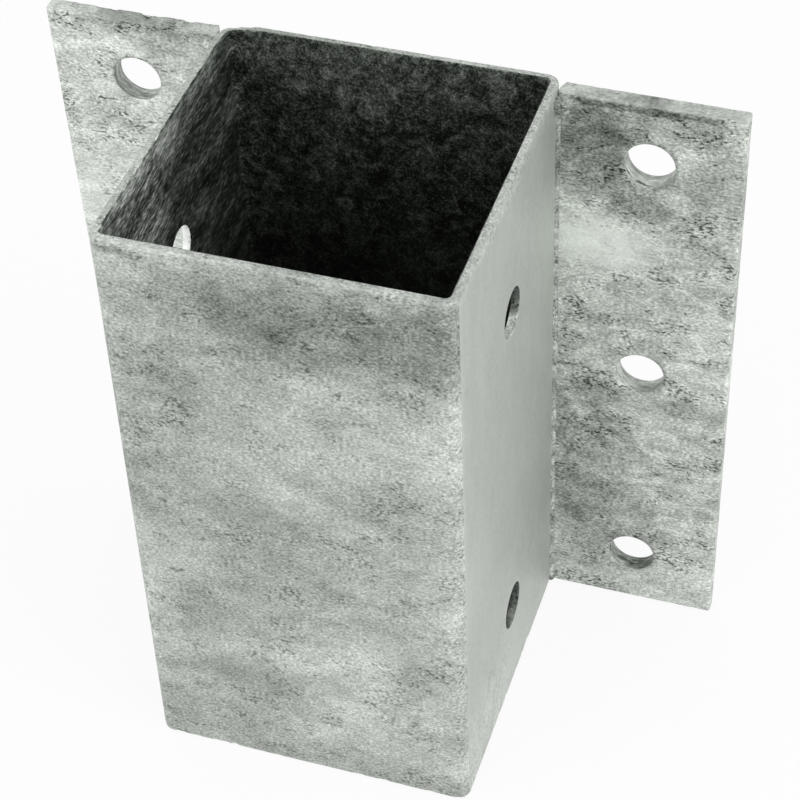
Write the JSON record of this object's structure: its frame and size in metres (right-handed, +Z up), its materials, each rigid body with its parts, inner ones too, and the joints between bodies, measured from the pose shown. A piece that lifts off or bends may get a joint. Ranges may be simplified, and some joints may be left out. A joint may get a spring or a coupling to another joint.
{
  "type": "timber post base",
  "caption": "Open square galvanised sleeve for a timber post, with a welded flat plate on each side for screwing to a wall.",
  "frame": {"origin": "on the sleeve's axis at its lower end", "axes": "+Z up along the post, +Y towards the wall behind the part, +X to the right as seen from in front of the wall"},
  "size_m": [0.155, 0.075, 0.15],
  "materials": {
    "galvanised_steel": "hot-dip galvanised, dull mottled zinc, pale grey with fine dark specks",
    "galvanised_weld": "rippled weld bead under the same zinc coat"
  },
  "bodies": {
    "root": {"post_sleeve": "galvanised_steel", "left_fixing_plate": "galvanised_steel", "right_fixing_plate": "galvanised_steel", "left_groove_weld": "galvanised_weld", "left_top_tack": "galvanised_weld", "right_groove_weld": "galvanised_weld", "right_top_tack": "galvanised_weld"}
  },
  "joints": []
}
